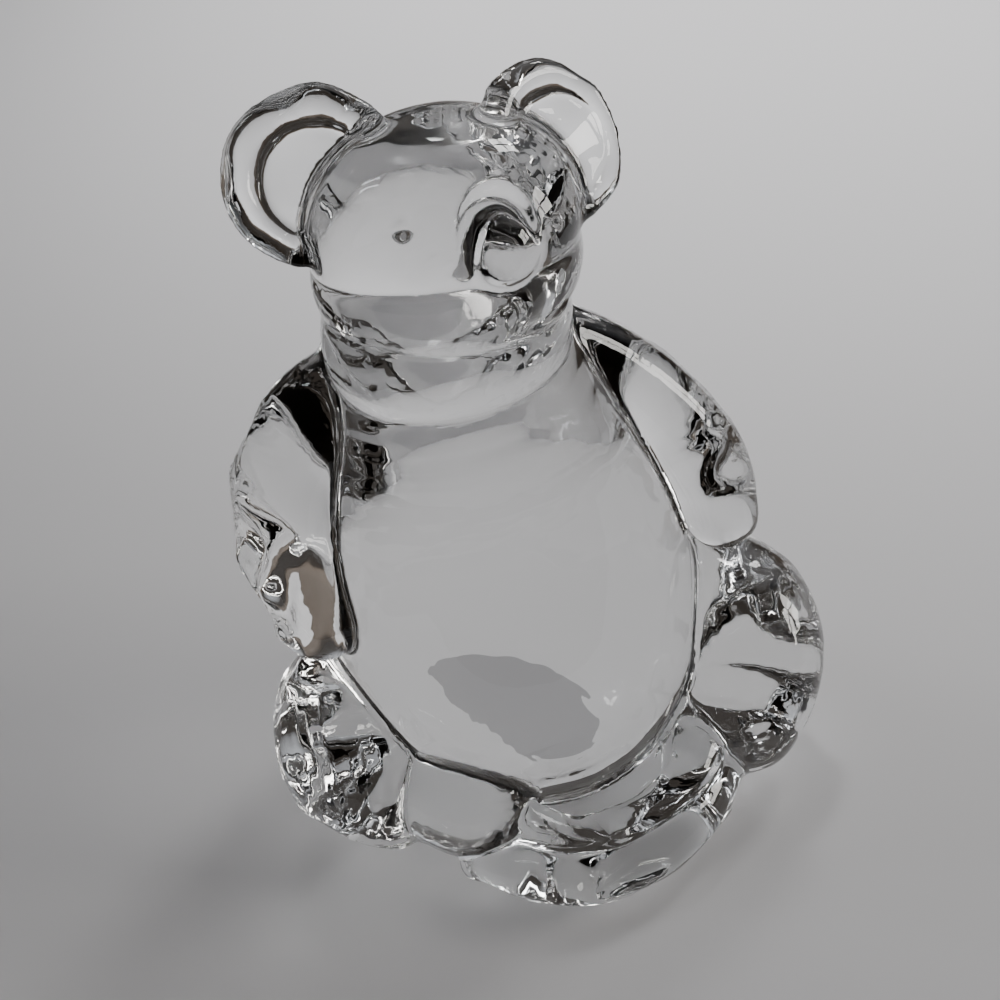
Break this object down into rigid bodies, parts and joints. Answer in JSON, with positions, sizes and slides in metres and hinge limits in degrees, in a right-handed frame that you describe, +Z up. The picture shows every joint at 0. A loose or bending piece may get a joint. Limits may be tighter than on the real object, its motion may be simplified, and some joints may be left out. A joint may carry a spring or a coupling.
{
  "type": "glass bear figurine",
  "caption": "Seated bear of solid clear crystal glass with large round ears, hands on raised knees, feet curled together in front, and a flat polished base",
  "frame": {"origin": "centre of the flat polished base, on the surface that the figurine stands on", "axes": "+Z up; the bear faces -Y; +X is the bear's own left"},
  "size_m": [0.0786, 0.0668, 0.1121],
  "materials": {
    "crystal": "clear colourless lead crystal, fire-polished, with a ground and polished base"
  },
  "bodies": {
    "root": {"body": "crystal", "head": "crystal", "muzzle": "crystal", "ear_right": "crystal", "ear_left": "crystal", "arm_right": "crystal", "arm_left": "crystal", "leg_right": "crystal", "leg_left": "crystal", "foot_right": "crystal", "foot_left": "crystal"}
  },
  "joints": []
}
